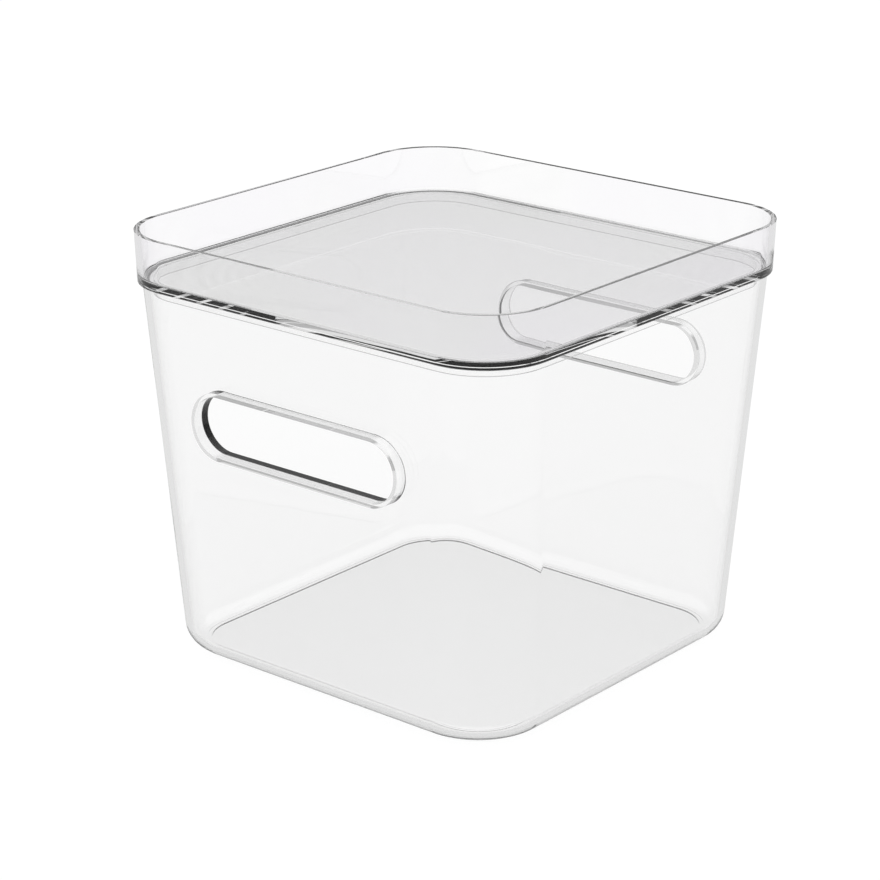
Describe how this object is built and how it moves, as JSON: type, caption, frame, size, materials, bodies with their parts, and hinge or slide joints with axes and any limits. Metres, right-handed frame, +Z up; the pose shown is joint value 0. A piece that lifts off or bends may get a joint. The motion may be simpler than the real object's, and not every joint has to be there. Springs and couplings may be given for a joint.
{
  "type": "plastic storage box with lid",
  "caption": "Clear plastic storage box: a drafted square tub with collared hand slots in its end walls, and a lift-off tray lid whose skirt drops inside the mouth.",
  "frame": {"origin": "middle of the box's footprint, on the surface that the foot ring stands on", "axes": "+Z up, -Y and +Y out through the hand slots, X across the plain walls"},
  "size_m": [0.2, 0.199, 0.1784],
  "materials": {
    "clear_body": "clear, polished",
    "clear_lid": "clear, polished"
  },
  "bodies": {
    "tub": {"box_body": "clear_body"},
    "lid": {"lid": "clear_lid"}
  },
  "joints": [
    {"name": "lid_lift", "type": "slide", "parent": "tub", "child": "lid", "axis": [0, 0, 1], "range_m": [0, 0.2]}
  ]
}
